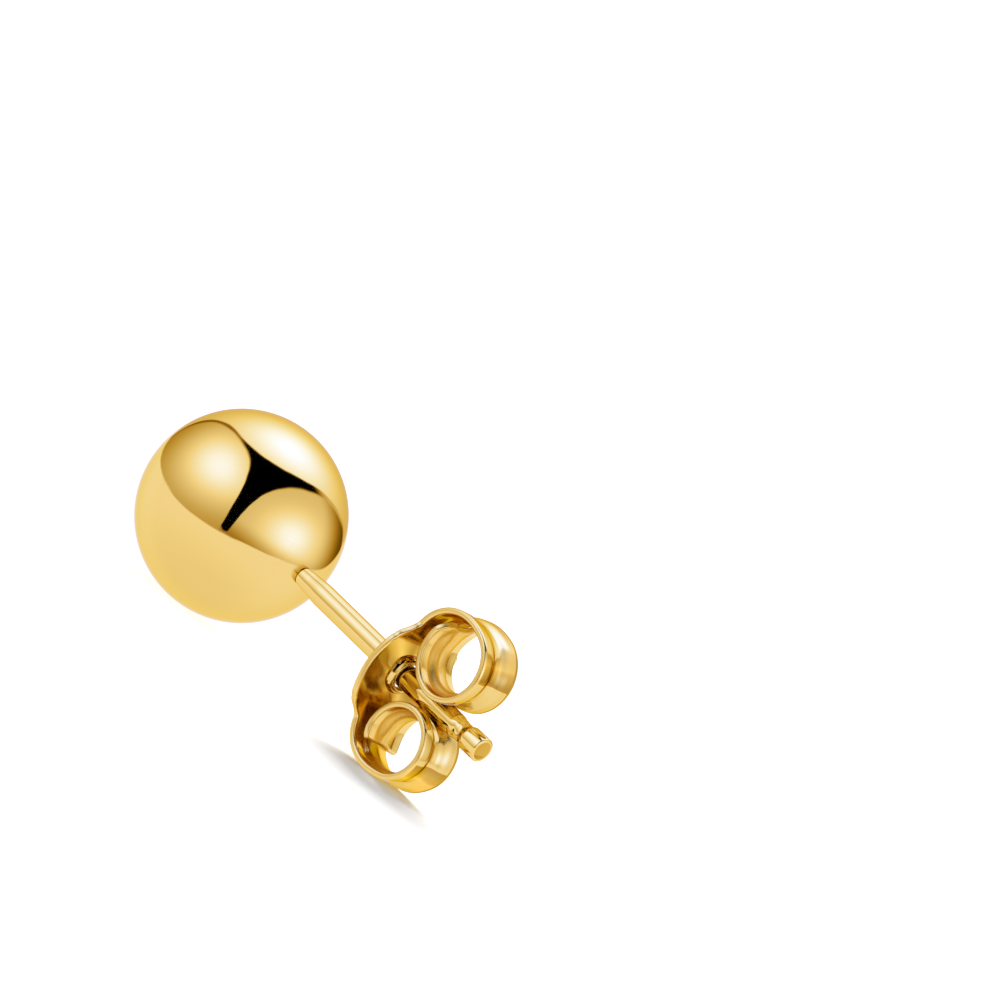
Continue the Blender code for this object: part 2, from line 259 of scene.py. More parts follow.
def half_width(along, turn):
    """Half the strip's width at a distance along it.

    The plate's outline is a quarter of an ellipse down to its shoulders, which ease into the narrower arms.
    """
    distance = np.abs(along) + np.radians(turn + 90) * (SCROLL_RADIUS + SCROLL_STANDOFF)
    share = np.clip(distance / PLATE_SHOULDER_AT, 0.0, 1.0)
    plate = PLATE_SHOULDER_WIDTH + (PLATE_WIDTH - PLATE_SHOULDER_WIDTH) * np.sqrt(1 - share**2)
    narrowed = ease((distance - PLATE_SHOULDER_AT) / PLATE_NARROWING)
    return (plate + (ARM_WIDTH - plate) * narrowed) / 2


def tip_width(name, turn, across):
    """The share of its width that the strip keeps at a turn: each half narrows in its own round corner."""
    size = scroll_sizes(name)
    kept = np.ones(np.shape(turn))
    for left, rounding, half in (
        (size["tip_near"], TIP_NEAR_ROUNDING, -across),
        (size["tip_far"], TIP_FAR_ROUNDING, across),
    ):
        into_tip = np.clip(1 - (size["end"] - turn) / rounding, 0.0, 1.0)
        kept = kept - (1 - left) * (1 - np.sqrt(1 - into_tip**2)) * np.clip(half, 0.0, 1.0)
    return kept


def plate_lift(along, width_at):
    """How far the plate stands towards the post's end: its dish, the collar round the hole and two ribs."""
    dish = PLATE_DISH * (2 * width_at / PLATE_WIDTH) ** 2
    from_hole = np.hypot(along, width_at) - hole_radius()
    collar = COLLAR_HEIGHT * (1 - ease(from_hole / COLLAR_WIDTH))
    outwards = ease(from_hole / COLLAR_WIDTH) * (1 - ease(2 * np.abs(width_at) / PLATE_WIDTH))
    rib = RIB_HEIGHT * np.exp(-((2 * along / RIB_WIDTH) ** 2)) * outwards
    return dish + collar + rib


def strip_middle(name, along, turn, width_at):
    """Points on the middle of the sheet's thickness as (x, y, z) from the plate's centre.

    The plate runs out to the scroll's centre at `along`; past it the strip turns about that centre by
    `turn` degrees from -90. The radius starts at the centre's reach from the plate, eases down to the
    scroll's own radius, and later to its inner one. `width_at` is the distance across the strip.
    """
    size = scroll_sizes(name)
    share = np.clip(0.5 + width_at / ARM_WIDTH, 0.0, 1.0)
    radius = size["near"] + (size["far"] - size["near"]) * share
    inner = size["inner_near"] + (size["inner_far"] - size["inner_near"]) * share
    closing = size["close_near"] + (size["close_far"] - size["close_near"]) * share
    closed = ease((turn + 90) / closing)
    rolled_in = eased(turn, ROLLS_IN)
    centre_line = size["reach"] + (radius - size["reach"]) * closed + (inner - radius) * rolled_in
    grip_depth = CAP_DIAMETER / 2 + GRIP_CLEARANCE - (size["across"] - radius - SHEET / 2)
    gripping = eased(turn, CHANNEL_BECOMES_GRIP)
    depth = CHANNEL_DEPTH * eased(turn, CHANNEL_STARTS) * (1 - gripping) + grip_depth * gripping
    at_tip = ease((turn - size["end"] + TIP_FLATTENS_OVER) / TIP_FLATTENS_OVER)
    channel = depth * (1 - TIP_FLATTENS_BY * at_tip) * smooth_table(share, CHANNEL)
    flare = TIP_FLARE * ease((turn - size["end"] + TIP_TURN) / TIP_TURN) ** 2
    curl = size["curl"] * share * eased(turn, TIP_CURLS)
    lift = plate_lift(along, width_at) * (1 - eased(turn, PLATE_ENDS))
    distance = centre_line - channel - lift - curl + flare
    skewed = ease((turn - size["end"] + TIP_SKEWS_OVER) / TIP_SKEWS_OVER)
    angle = np.radians(turn - TIP_SKEW * (1 - share) * skewed)
    rise = PLATE_RISE * ease(np.abs(along) / size["across"])
    x = rise + size["reach"] + distance * np.sin(angle)
    z = along + size["sign"] * distance * np.cos(angle)
    return np.stack([x, width_at, z], axis=-1)


def either_side(along, turn, width_at):
    """The whole strip's middle surface: the lower scroll's where `along` is negative, else the upper's."""
    upper = strip_middle("upper", along, turn, width_at)
    lower = strip_middle("lower", along, turn, width_at)
    return np.where((along >= 0)[..., None], upper, lower)


def strip_rows():
    """The strip's rows from the lower scroll's end to the upper one's: distance along and turn.

    The rows crowd together at the hole's edge and at the two tips, where the sheet's edge is rounded.
    """
    block = HOLE_BLOCK_ALONG * PLATE_SHOULDER_AT
    inner = HOLE_BLOCK_SHARE * block
    collar = inner + (block - inner) * np.linspace(0, 1, COLLAR_STEPS + 1) ** COLLAR_CROWDS
    hole = np.linspace(-inner, inner, HOLE_STEPS + 1)[1:-1]
    middle = np.concatenate([-collar[::-1], hole, collar])
    rows = {}
    for name in SCROLLS:
        size = scroll_sizes(name)
        outer = np.linspace(block, size["across"], PLATE_STEPS + 1)[1:]
        steps = round((size["end"] + 90) / SCROLL_STEP)
        turns = np.linspace(-90, size["end"], steps + 1)[1:-1]
        last = size["end"] - SCROLL_STEP * (1 - np.linspace(0, 1, END_STEPS + 1)[1:]) ** 2
        turns = np.concatenate([turns[:-1], [size["end"] - 1.5 * SCROLL_STEP], last])
        along = np.concatenate([outer, np.full(len(turns), size["across"])]) * size["sign"]
        rows[name] = (along, np.concatenate([np.full(len(outer), -90.0), turns]))
    along = np.concatenate([rows["lower"][0][::-1], middle, rows["upper"][0]])
    turn = np.concatenate([rows["lower"][1][::-1], np.full(len(middle), -90.0), rows["upper"][1]])
    return along, turn


def strip_columns():
    """The columns across the strip, from -1 to 1, closest together at the hole's edge and the two rims."""
    block = HOLE_BLOCK_ACROSS
    inner = HOLE_BLOCK_SHARE * block
    collar = inner + (block - inner) * np.linspace(0, 1, COLLAR_STEPS + 1) ** COLLAR_CROWDS
    rim = 1 - (1 - block) * (1 - np.linspace(0, 1, RIM_STEPS + 1)[1:]) ** RIM_CROWDS
    half = np.concatenate([collar, rim])
    return np.concatenate([-half[::-1], np.linspace(-inner, inner, HOLE_STEPS + 1)[1:-1], half])


def around_hole(along, across, width_at):
    """Moves the points of the square round the hole, so that its inmost square becomes the hole's circle.

    q is the point's distance from the centre in squares, 1 on the outer square. A side of a square turns
    into a quarter of a circle, and the circle turns back into the square from the hole outwards.
    """
    u = along / (HOLE_BLOCK_ALONG * PLATE_SHOULDER_AT)
    v = across / HOLE_BLOCK_ACROSS
    q = np.maximum(np.abs(u), np.abs(v))
    q_safe = np.maximum(q, 1e-9)
    sideways = np.where(np.abs(u) >= np.abs(v), v, u) / q_safe * math.pi / 4
    major = np.cos(sideways)
    minor = np.sin(sideways)
    circle_u = np.where(np.abs(u) >= np.abs(v), np.sign(u) * major, minor)
    circle_v = np.where(np.abs(u) >= np.abs(v), minor, np.sign(v) * major)
    outwards = np.clip((q - HOLE_BLOCK_SHARE) / (1 - HOLE_BLOCK_SHARE), 0.0, 1.0)
    square_along = along / q_safe
    square_width = width_at / q_safe
    inside = q < 1
    new_along = (1 - outwards) * hole_radius() * circle_u + outwards * square_along
    new_width = (1 - outwards) * hole_radius() * circle_v + outwards * square_width
    return np.where(inside, new_along, along), np.where(inside, new_width, width_at)


def strip_grid():
    """The strip's grid of distances along it, turns, distances across it, and distances from a cut edge."""
    row_along, row_turn = strip_rows()
    along, across = np.meshgrid(row_along, strip_columns(), indexing="ij")
    turn = np.broadcast_to(row_turn[:, None], along.shape)
    tip = np.where(along > 0, tip_width("upper", turn, across), tip_width("lower", turn, across))
    full = half_width(along, turn) * tip
    width_at = full * across
    end = np.where(along > 0, SCROLLS["upper"][-1], SCROLLS["lower"][-1])
    from_edge = np.minimum((1 - np.abs(across)) * full, np.radians(end - turn) * SCROLL_RADIUS)
    on_plate = turn <= -90
    warped, warped_width = around_hole(along, across, width_at)
    along = np.where(on_plate, warped, along)
    width_at = np.where(on_plate, warped_width, width_at)
    from_hole = np.hypot(along, width_at) - hole_radius()
    from_edge = np.where(on_plate, np.minimum(from_edge, from_hole), from_edge)
    return along, turn, width_at, np.maximum(from_edge, 0.0)


def strip_faces():
    """Both faces of the sheet as grids of points.

    Each lies half the sheet's thickness off the middle surface, along its normal. Within SHEET_ROUNDING of
    a cut edge that half thickness falls off as a quarter of a circle, so the edge is a flat wall with two
    rounded corners.
    """
    along, turn, width_at, from_edge = strip_grid()
    middle = either_side(along, turn, width_at)
    small = 1e-7
    on_plate = turn <= -90
    side = np.where(along >= 0, 1.0, -1.0)
    onward = either_side(
        along + np.where(on_plate, small * side, 0.0),
        turn + np.where(on_plate, 0.0, math.degrees(small / SCROLL_RADIUS)),
        width_at,
    )
    sideways = either_side(along, turn, width_at + small)
    normal = np.cross(onward - middle, sideways - middle) * side[..., None]
    normal /= np.maximum(np.linalg.norm(normal, axis=-1, keepdims=True), 1e-30)
    into = np.clip(1 - from_edge / SHEET_ROUNDING, 0.0, 1.0)
    half = SHEET / 2 - SHEET_ROUNDING * (1 - np.sqrt(1 - into**2))
    outer = middle + normal * half[..., None]
    inner = middle - normal * half[..., None]
    return outer, inner, along, turn, width_at, from_edge


def in_groove(width_at):
    """1 in the middle of the arms, where the channel is pressed, and 0 towards both edges."""
    share = 0.5 + width_at / ARM_WIDTH
    return eased(share, GROOVE_STARTS) * (1 - eased(share, GROOVE_ENDS))


def scroll_front(turn, width_at):
    """1 on the outer face's far flange over the front of each scroll, and 0 elsewhere."""
    along_arm = eased(turn, FRONT_STARTS) * (1 - eased(turn, FRONT_ENDS))
    return along_arm * ease(FRONT_RISES * width_at / ARM_WIDTH)


def strip_painted_shade(along, turn, width_at, from_edge):
    """How much painted shade each point of the inner face has, up to 1, and the same for the outer face.

    The painted shade deepens the gold's colour where shade and dark reflections lie. On the inner face it is
    deepest on the plate, in fans round the hole that are a cosine of the angle, and less in the scrolls'
    groove, where a painted highlight streak that is a bell curve across the strip lightens it. It isn't
    painted on the collar and the rims, and the wall of the hole is painted fully dark. The outer face gets
    painted shade over the front of each scroll, to where it starts to face down, and a thin bell-shaped
    painted dark line at the far rim.
    """
    from_hole = np.hypot(along, width_at) - hole_radius()
    # Fans of painted shade round the hole.
    fans = 0.5 - 0.5 * np.cos(SHADE_FANS * (np.arctan2(width_at, along) + SHADE_FANS_START))
    on_plate = 1 - eased(turn, PLATE_SHADE_ENDS)
    # A painted highlight streak along the groove.
    painted_streak = np.exp(-(((width_at / ARM_WIDTH - HIGHLIGHT_STREAK_AT) / HIGHLIGHT_STREAK_WIDTH) ** 2))
    groove = in_groove(width_at) * (GROOVE_PAINTED_SHADE - HIGHLIGHT_STREAK_LIGHTENS * painted_streak)
    inner_painted_shade = groove * (1 - on_plate) + on_plate * (PLATE_PAINTED_SHADE + FANS_PAINTED_SHADE * fans)
    off_edge = ease(from_edge / RIM_LIGHT)
    off_collar = np.where(turn <= -90, ease((from_hole - COLLAR_WIDTH / 2) / COLLAR_WIDTH), 1.0)
    # The hole's wall is painted fully dark.
    in_hole = (turn <= -90) & (from_hole < 1e-6)
    # Painted shade over the front of each scroll's outer face, ending abruptly where it faces down.
    under = UNDER_PAINTED_SHADE * eased(turn, UNDER_SHADE_STARTS) * (turn < sum(UNDER_SHADE_STARTS)) * off_edge
    # A thin painted dark line beside the far rim.
    lip = LIP_PAINTED_SHADE * np.exp(-(((from_edge - LIP_FROM_EDGE) / LIP_WIDTH) ** 2)) * (width_at > 0)
    outer = np.maximum(under, lip * eased(turn, SCROLL_FINISH_AND_SHADE))
    # Painted shade warming the far flange over the front of each scroll.
    outer = np.maximum(outer, FRONT_PAINTED_SHADE * scroll_front(turn, width_at))
    return np.where(in_hole, 1.0, inner_painted_shade * off_edge * off_collar), np.where(in_hole, 1.0, outer)


def strip_satin(turn, width_at, from_edge):
    """How much rougher than polished the inner face is, and the outer: the grooves, far flanges and rims.

    The outer face's far flange is roughest over the front of each scroll.
    """
    in_scroll = eased(turn, SCROLL_FINISH_AND_SHADE)
    rim = RIM_SATIN * (1 - ease(from_edge / SHEET_ROUNDING))
    far = FLANGE_SATIN * ease(2 * width_at / ARM_WIDTH) * in_scroll
    outer = np.maximum(far, FRONT_SATIN * scroll_front(turn, width_at))
    return np.maximum(GROOVE_SATIN * in_groove(width_at) * in_scroll, rim), np.maximum(outer, rim)


def strip_painted_sheen(turn, width_at):
    """A painted highlight: 1 on the inner face's far flange in the scrolls, which the light skims, else 0."""
    # Painted highlight as a pale edge tint.
    painted_sheen = eased(width_at / ARM_WIDTH, SHEEN_FROM_MIDDLE) * eased(turn, SHEEN_STARTS)
    return painted_sheen, np.zeros_like(painted_sheen)


def kept_cells():
    """The grid's cells, True but for those that the hole takes away."""
    along = strip_rows()[0]
    across = strip_columns()
    half_hole_along = HOLE_BLOCK_SHARE * HOLE_BLOCK_ALONG * PLATE_SHOULDER_AT
    half_hole_across = HOLE_BLOCK_SHARE * HOLE_BLOCK_ACROSS
    in_rows = np.abs(along[1:] + along[:-1]) / 2 < half_hole_along
    in_columns = np.abs(across[1:] + across[:-1]) / 2 < half_hole_across
    return ~(in_rows[:, None] & in_columns[None, :])


def sheet_mesh(outer, inner, kept):
    """Points and faces of a sheet between two grids: both faces, and a wall along every free edge.

    Also the place of each point in the two grids, laid end to end.
    """
    rows, columns = outer.shape[:2]
    number = np.arange(rows * columns).reshape(rows, columns)
    corners = np.stack([number[:-1, :-1], number[1:, :-1], number[1:, 1:], number[:-1, 1:]], axis=-1)[kept]
    sides = np.concatenate([np.stack([corners[:, k], corners[:, (k + 1) % 4]], axis=-1) for k in range(4)])
    count = rows * columns
    forward = sides[:, 0] * count + sides[:, 1]
    backward = sides[:, 1] * count + sides[:, 0]
    free = sides[~np.isin(forward, backward)]
    walls = np.stack([free[:, 1], free[:, 0], free[:, 0] + count, free[:, 1] + count], axis=-1)
    faces = np.concatenate([corners, corners[:, ::-1] + count, walls])
    points = np.concatenate([outer.reshape(-1, 3), inner.reshape(-1, 3)])
    used = np.unique(faces)
    renumber = np.full(len(points), -1)
    renumber[used] = np.arange(len(used))
    return points[used], renumber[faces], used


def ball_profile():
    """The ball's outline from its far pole to the near one, without the two poles: x and radius."""
    angles = np.linspace(math.pi, 0, BALL_STEPS + 1)[1:-1]
    return BALL_DIAMETER / 2 * np.stack([np.cos(angles), np.sin(angles)], axis=-1)


def ball_to_root():
    """Where the root leaves the ball's surface, as x from the ball's centre."""
    return math.sqrt(BALL_DIAMETER**2 - ROOT_DIAMETER**2) / 2


def post_profile():
    """The post's outline from inside the ball to its end: x from the ball's centre, and radius.

    A small groove at the ball's surface, a bell curve deep, then eased tapers from the root to the post,
    to the neck and to the cap, whose corner is a quarter of a circle, and a dished end face.
    """
    ball = BALL_DIAMETER / 2
    root = ROOT_DIAMETER / 2
    root_end = ROOT_END_DIAMETER / 2
    post = POST_DIAMETER / 2
    neck = NECK_DIAMETER / 2
    cap = CAP_DIAMETER / 2
    end = ball + POST_LENGTH
    joint = ball_to_root()
    neck_start = end - CAP_LENGTH - NECK_LENGTH
    neck_middle = neck_start + NECK_LENGTH * NECK_NARROWS_OVER
    start = ball + ROOT_LENGTH
    after = start + ROOT_TAPER
    share = np.linspace(0, 1, POST_STEPS + 1)[1:]
    seam = np.linspace(-2, 2, SEAM_STEPS + 1)
    corner = np.linspace(0, math.pi / 2, CORNER_STEPS + 1)[1:]
    inward = np.linspace(1, 0, CORNER_STEPS + 1)[1:-1]
    parts = (
        ([joint - ROOT_INSIDE_BALL], [root]),
        (joint + ROOT_SEAM * seam, root - ROOT_SEAM / 2 * np.exp(-(seam**2))),
        (start + ROOT_TAPER * share, root_end + (post - root_end) * ease(share)),
        (after + (neck_start - after) * share, post + 0 * share),
        (neck_start + (neck_middle - neck_start) * share, post + (neck - post) * ease(share)),
        (neck_middle + (end - CAP_LENGTH - neck_middle) * share, neck + (cap - neck) * ease(share)),
        ([end - CAP_ROUNDING], [cap]),
        (end - CAP_ROUNDING * (1 - np.sin(corner)), cap - CAP_ROUNDING * (1 - np.cos(corner))),
        (end - END_DISH * (1 - inward**2), (cap - CAP_ROUNDING) * inward),
    )
    return np.concatenate([np.stack([np.asarray(x, float), np.asarray(r, float)], axis=-1) for x, r in parts])


def crimped(points):
    """The post with small dents pressed into its neck.

    Each dent is a bell along x that sways as it goes round, and is deepest on CRIMP_SIDES sides, a cosine
    of the angle. CRIMPS are their places in shares of the neck.
    """
    end = BALL_DIAMETER / 2 + POST_LENGTH
    neck_start = end - CAP_LENGTH - NECK_LENGTH
    around = np.arctan2(points[:, 2], points[:, 1])
    scale = np.ones(len(points))
    for count, share in enumerate(CRIMPS):
        sway = CRIMP_WIDTH * CRIMP_SWAY * np.sin(2 * around + count)
        middle = neck_start + NECK_LENGTH * share + sway
        bell = np.exp(-(((points[:, 0] - middle) / CRIMP_WIDTH) ** 2))
        scale -= CRIMP_DEPTH * bell * (0.5 + 0.5 * np.cos(CRIMP_SIDES * around + CRIMP_TURN * count))
    return points * np.stack([np.ones(len(points)), scale, scale], axis=-1)


def post_painted_shade(points):
    """Painted shade: 1 in the seam where the post leaves the ball, and a set share on the end face inside its
    rim.
    """
    radius = np.hypot(points[:, 1], points[:, 2])
    # Painted shade in the seam's groove and, below, on the end face.
    seam = np.exp(-(((points[:, 0] - ball_to_root()) / ROOT_SEAM) ** 2))
    end = BALL_DIAMETER / 2 + POST_LENGTH
    face = (points[:, 0] > end - CAP_LENGTH / 2) * (1 - eased(radius / (CAP_DIAMETER / 2), FACE_EDGE))
    return np.maximum(seam, FACE_PAINTED_SHADE * face)


def turned_mesh(outline, first, last, sides):
    """An outline turned about x: a point at `first`, one ring for each row, and a point at `last`."""
    x, radius = outline.T
    angle = 2 * math.pi * np.arange(sides) / sides
    rings = np.stack(
        [
            np.repeat(x[:, None], sides, axis=1),
            radius[:, None] * np.cos(angle),
            radius[:, None] * np.sin(angle),
        ],
        axis=-1,
    )
    points = np.concatenate([[(first, 0.0, 0.0)], rings.reshape(-1, 3), [(last, 0.0, 0.0)]])
    number = 1 + np.arange(len(outline) * sides).reshape(len(outline), sides)
    after = np.roll(number, -1, axis=1)
    start = np.stack([np.zeros(sides, int), after[0], number[0]], axis=-1)
    finish = np.stack([np.full(sides, len(points) - 1), number[-1], after[-1]], axis=-1)
    quads = np.stack([number[:-1], after[:-1], after[1:], number[1:]], axis=-1).reshape(-1, 4)
    return points, start.tolist() + quads.tolist() + finish.tolist()


def in_world(points):
    """Points on the stud's own axes, laid down as the solids lie."""
    return np.asarray(points) @ np.array(TO_WORLD).T + np.array(BALL_CENTRE)


def add_piece(name, points, faces, material, body, node):
    """A mesh piece in world coordinates that rides on a body and stands for a CAD node."""
    mesh = bpy.data.meshes.new(name)
    mesh.from_pydata([tuple(p) for p in in_world(points).tolist()], [], faces)
    mesh.update()
    mesh.materials.append(material)
    mesh.shade_smooth()
    piece = bpy.data.objects.new(name, mesh)
    bpy.context.scene.collection.objects.link(piece)
    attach(piece, body)
    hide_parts(node)
    return piece


def set_value(mesh, name, values):
    """Keeps one value for each vertex, for the piece's material."""
    mesh.attributes.new(name, "FLOAT", "POINT").data.foreach_set("value", np.asarray(values, float))


def set_uv(mesh, across, along):
    """A UV map from one value across and one along for each vertex, in millimetres."""
    layer = mesh.uv_layers.new(name="drawn")
    corner_vertex = np.empty(len(mesh.loops), int)
    mesh.loops.foreach_get("vertex_index", corner_vertex)
    layer.data.foreach_set("uv", np.stack([across, along], axis=-1)[corner_vertex].ravel())


class Nodes:
    """A short way to write a node tree: each call adds a node and returns its output."""

    def __init__(self, tree):
        self.tree = tree

    def put(self, value, socket):
        if isinstance(value, bpy.types.NodeSocket):
            self.tree.links.new(value, socket)
        else:
            socket.default_value = value

    def add(self, kind, **settings):
        node = self.tree.nodes.new(kind)
        for key, value in settings.items():
            setattr(node, key, value)
        return node

    def math(self, operation, *values):
        node = self.add("ShaderNodeMath", operation=operation)
        for value, socket in zip(values, node.inputs):
            self.put(value, socket)
        return node.outputs[0]

    def vector(self, operation, *values, out="Vector"):
        node = self.add("ShaderNodeVectorMath", operation=operation)
        for value, socket in zip(values, node.inputs):
            self.put(value, socket)
        return node.outputs[out]

    def smooth(self, value, low, high, to_low=0.0, to_high=1.0):
        """to_low below low, to_high above high, and between them a change that leaves and arrives level."""
        node = self.add("ShaderNodeMapRange", interpolation_type="SMOOTHSTEP")
        self.put(value, node.inputs["Value"])
        self.put(low, node.inputs["From Min"])
        self.put(high, node.inputs["From Max"])
        self.put(to_low, node.inputs["To Min"])
        self.put(to_high, node.inputs["To Max"])
        return node.outputs[0]

    def noise(self, vector, scale, detail):
        node = self.add("ShaderNodeTexNoise")
        self.put(vector, node.inputs["Vector"])
        node.inputs["Scale"].default_value = scale
        node.inputs["Detail"].default_value = detail
        return node.outputs["Fac"]

    def vertex_value(self, name):
        return self.add("ShaderNodeAttribute", attribute_name=name).outputs["Fac"]

    def mix(self, share, first, second):
        """first where share is 0, second where it is 1."""
        difference = self.math("SUBTRACT", second, first)
        return self.math("MULTIPLY_ADD", difference, share, first)

    def curve(self, azimuth, table):
        """An elevation that follows the azimuth through a table's two columns, as a smooth curve."""
        node = self.add("ShaderNodeFloatCurve")
        points = node.mapping.curves[0].points
        turn = AZIMUTHS[1] - AZIMUTHS[0]
        places = [((a - AZIMUTHS[0]) / turn, (e + 90) / 180) for a, e in table]
        points[0].location, points[1].location = places[0], places[-1]
        for place in places[1:-1]:
            points.new(*place)
        node.mapping.update()
        share = self.math("SUBTRACT", azimuth, AZIMUTHS[0])
        self.put(self.math("DIVIDE", share, turn), node.inputs["Value"])
        return self.math("MULTIPLY_ADD", node.outputs[0], 180.0, -90.0)

    def blend(self, share, first, second):
        """The colour first where share is 0, second where it is 1."""
        node = self.add("ShaderNodeMix", data_type="RGBA")
        for value, socket in ((share, node.inputs[0]), (first, node.inputs[6]), (second, node.inputs[7])):
            self.put((*value, 1.0) if isinstance(value, tuple) else value, socket)
        return node.outputs[2]

    def ramp(self, value, table):
        """A colour ramp. Columns of the table: position, red, green, blue."""
        node = self.add("ShaderNodeValToRGB")
        stops = node.color_ramp.elements
        stops[0].position, stops[1].position = table[0][0], table[-1][0]
        stops[0].color, stops[1].color = (*table[0][1:], 1), (*table[-1][1:], 1)
        for position, *colour in table[1:-1]:
            stops.new(position).color = (*colour, 1)
        self.put(value, node.inputs[0])
        return node.outputs[0]


# Columns: painted shade with a little unevenness added, then red, green and blue, the deeper rows painting
# shade into the gold.
GOLD_COLOURS = (
    (0.0, 0.79, 0.61, 0.165),
    (0.04, 0.81, 0.63, 0.175),
    (0.24, 0.98, 0.71, 0.14),
    (0.36, 0.78, 0.52, 0.08),
    (0.6, 0.54, 0.34, 0.05),
    (0.8, 0.3, 0.15, 0.02),
    (1.0, 0.1, 0.05, 0.01),
)

# The tint of the gold's edges under full painted shade, and where a painted highlight makes them pale.
EDGE_IN_PAINTED_SHADE = (0.45, 0.24, 0.04)
# A pale edge tint that paints a highlight where the light skims.
EDGE_PAINTED_SHEEN = (0.97, 0.92, 0.7)

# Columns: roughness, the tint of the edges, how dense the drawn lines are across and along, and the two
# distances between which the piece fades from mirrors, or None where it doesn't.
GOLDS = {
    "polished_gold_ball": (0.045, (0.87, 0.73, 0.38), 1.0, 1.0, None),
    "polished_gold_post": (0.06, (0.8, 0.58, 0.24), 1.0, 1.0, (0.0001, 0.0006)),
    "polished_gold_back": (0.1, (0.76, 0.5, 0.16), 12.0, 0.6, (0.004, 0.005)),
}

# The gold's uneven patches and its fine wear: noise scales per metre, how much the patches deepen the colour,
# and the range of wear that the roughness follows, from and to these shares of it.
PATCHES = 420.0
WEAR = 9000.0
PATCHES_DEEPEN = 0.04
WORN = (0.45, 1.05)
WORN_ROUGHNESS = (0.7, 1.4)
DRAWN_STRENGTH = 0.035
DRAWN_DEPTH = 0.00001

# How many units of its UV map a turned piece has for each radian round it.
LINES_ROUND = 12


def gold_material(name):
    """Polished yellow gold with faint drawn lines, fine wear and a roughness that varies a little.

    It is deeper and browner where the piece's painted shade is high, which paints shade and dark reflections
    into its colour and edge tint, rougher by the piece's satin, and has pale edges where its painted sheen
    paints a highlight. Mirrors further off than the first of its two distances see less and less of it, and
    none of it past the second, so the ball stays as clean as polished.
    """
    roughness, edge_tint, lines_across, lines_along, mirrored_from = GOLDS[name]
    material = bpy.data.materials.new(name)
    material.use_nodes = True
    nodes = Nodes(material.node_tree)
    shader = material.node_tree.nodes["Principled BSDF"]
    shader.inputs["Metallic"].default_value = 1.0
    place = nodes.add("ShaderNodeTexCoord")

    cloudy = nodes.noise(place.outputs["Object"], PATCHES, 5.0)
    fine = nodes.noise(place.outputs["Object"], WEAR, 3.0)
    stretch = nodes.add("ShaderNodeMapping")
    nodes.put(place.outputs["UV"], stretch.inputs["Vector"])
    stretch.inputs["Scale"].default_value = (lines_across, lines_along, 1.0)
    drawn = nodes.noise(stretch.outputs[0], 1.0, 4.0)

    # Painted shade deepens the colour and browns the edge tint; painted sheen makes the edge tint pale.
    painted_shade = nodes.vertex_value("painted_shade")
    tint = nodes.blend(painted_shade, edge_tint, EDGE_IN_PAINTED_SHADE)
    nodes.put(nodes.blend(nodes.vertex_value("painted_sheen"), tint, EDGE_PAINTED_SHEEN), shader.inputs["Specular Tint"])
    patches_and_painted_shade = nodes.math("MULTIPLY_ADD", cloudy, PATCHES_DEEPEN, painted_shade)
    nodes.put(nodes.ramp(patches_and_painted_shade, GOLD_COLOURS), shader.inputs["Base Color"])
    worn = nodes.math("MULTIPLY_ADD", fine, 0.5, cloudy)
    rough = nodes.add("ShaderNodeMapRange")
    nodes.put(worn, rough.inputs["Value"])
    rough.inputs["From Min"].default_value = WORN[0]
    rough.inputs["From Max"].default_value = WORN[1]
    rough.inputs["To Min"].default_value = roughness * WORN_ROUGHNESS[0]
    rough.inputs["To Max"].default_value = roughness * WORN_ROUGHNESS[1]
    nodes.put(nodes.math("ADD", rough.outputs[0], nodes.vertex_value("satin")), shader.inputs["Roughness"])

    bump = nodes.add("ShaderNodeBump")
    bump.inputs["Strength"].default_value = DRAWN_STRENGTH
    bump.inputs["Distance"].default_value = DRAWN_DEPTH
    nodes.put(drawn, bump.inputs["Height"])
    nodes.put(bump.outputs[0], shader.inputs["Normal"])

    if mirrored_from:
        path = nodes.add("ShaderNodeLightPath")
        far_off = nodes.smooth(path.outputs["Ray Length"], *mirrored_from)
        unseen = nodes.math("MULTIPLY", far_off, path.outputs["Is Glossy Ray"])
        either = nodes.add("ShaderNodeMixShader")
        nodes.put(unseen, either.inputs[0])
        nodes.put(shader.outputs[0], either.inputs[1])
        nodes.put(nodes.add("ShaderNodeBsdfTransparent").outputs[0], either.inputs[2])
        nodes.put(either.outputs[0], material.node_tree.nodes["Material Output"].inputs["Surface"])
    return material


def direction(azimuth, elevation):
    """The unit vector at an azimuth from -Y towards +X and an elevation, in degrees."""
    az, el = math.radians(azimuth), math.radians(elevation)
    return (math.cos(el) * math.sin(az), -math.cos(el) * math.cos(az), math.sin(el))


# The light tent as polished gold shows it. Columns: share of TENT_LEVEL, then the light's red, green and
# blue, warm and deep where it is dim and pale where it is bright.
TENT_COLOURS = (
    (0, 0, 0, 0),
    (0.044, 0.13, 0.07, 0.01),
    (0.105, 0.31, 0.18, 0.02),
    (0.156, 0.45, 0.26, 0.05),
    (0.225, 0.57, 0.38, 0.14),
    (0.285, 0.67, 0.48, 0.27),
    (0.347, 0.74, 0.58, 0.42),
    (0.4, 0.82, 0.67, 0.6),
    (0.47, 0.91, 0.79, 0.83),
    (0.55, 1.02, 0.92, 1.07),
    (0.595, 1.09, 1, 1.21),
    (0.64, 1.13, 1.07, 1.52),
    (0.72, 1.14, 1.2, 2.3),
    (0.785, 1.18, 1.31, 2.99),
    (0.84, 1.21, 1.41, 3.79),
    (0.895, 1.23, 1.5, 4.65),
    (0.953, 1.24, 1.6, 5.73),
    (1, 1.25, 1.68, 6.55),
)
TENT_LEVEL = 1.6

